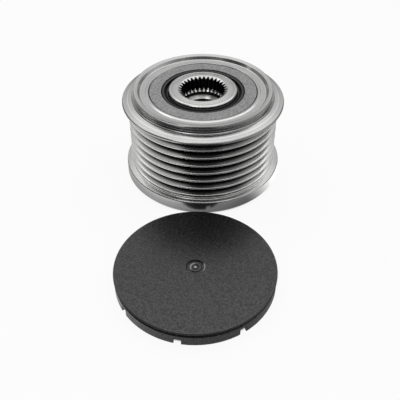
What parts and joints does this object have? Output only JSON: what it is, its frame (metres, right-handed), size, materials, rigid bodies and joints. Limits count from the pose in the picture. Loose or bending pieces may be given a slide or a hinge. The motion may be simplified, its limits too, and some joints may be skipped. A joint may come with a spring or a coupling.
{
  "type": "overrunning alternator pulley",
  "caption": "Multi-groove belt pulley with a one-way roller clutch and two ball bearings around a threaded, toothed hub, with its push-fit end cap beside it.",
  "frame": {"origin": "centre of the hub's rear seat face, on the shaft axis", "axes": "+Z along the shaft axis to the front, where the tool socket and the cover are; the cap lies towards -Y"},
  "size_m": [0.0632, 0.123, 0.0388],
  "materials": {
    "pulley_steel": "turned steel, satin",
    "hub_steel": "ground steel",
    "bearing_steel": "ground bearing steel",
    "ball_steel": "polished",
    "spring_steel": "rolled strip",
    "cover_steel": "matt pressed sheet",
    "cage_plastic": "moulded polyamide",
    "seal_rubber": "smooth black rubber",
    "cap_plastic": "fine-grained black plastic"
  },
  "bodies": {
    "hub": {"hub": "hub_steel", "front_inner_race": "bearing_steel", "rear_inner_race": "bearing_steel", "end_cap": "cap_plastic"},
    "pulley": {"pulley_ring": "pulley_steel", "front_outer_race": "bearing_steel", "rear_outer_race": "bearing_steel", "front_clutch_washer": "bearing_steel", "rear_clutch_washer": "bearing_steel", "clutch_sleeve": "bearing_steel", "clutch_cage": "cage_plastic", "clutch_rollers": "ball_steel", "clutch_springs": "spring_steel", "front_cover_ring": "cover_steel", "front_lip_seal": "seal_rubber", "rear_cover_ring": "cover_steel", "rear_lip_seal": "seal_rubber"},
    "front_ball_set": {"front_balls": "ball_steel", "front_cage": "cage_plastic"},
    "rear_ball_set": {"rear_balls": "ball_steel", "rear_cage": "cage_plastic"}
  },
  "joints": [
    {"name": "pulley_spin", "type": "hinge", "parent": "hub", "child": "pulley", "pos_m": [0, 0, 0.02], "axis": [0, 0, 1], "continuous": true},
    {"name": "front_balls_spin", "type": "hinge", "parent": "hub", "child": "front_ball_set", "pos_m": [0, 0, 0.03125], "axis": [0, 0, 1], "continuous": true},
    {"name": "rear_balls_spin", "type": "hinge", "parent": "hub", "child": "rear_ball_set", "pos_m": [0, 0, 0.00835], "axis": [0, 0, 1], "continuous": true}
  ],
  "couplings": [
    {"joint": "front_balls_spin", "follows": "pulley_spin", "ratio": 0.56006},
    {"joint": "rear_balls_spin", "follows": "pulley_spin", "ratio": 0.56006}
  ]
}
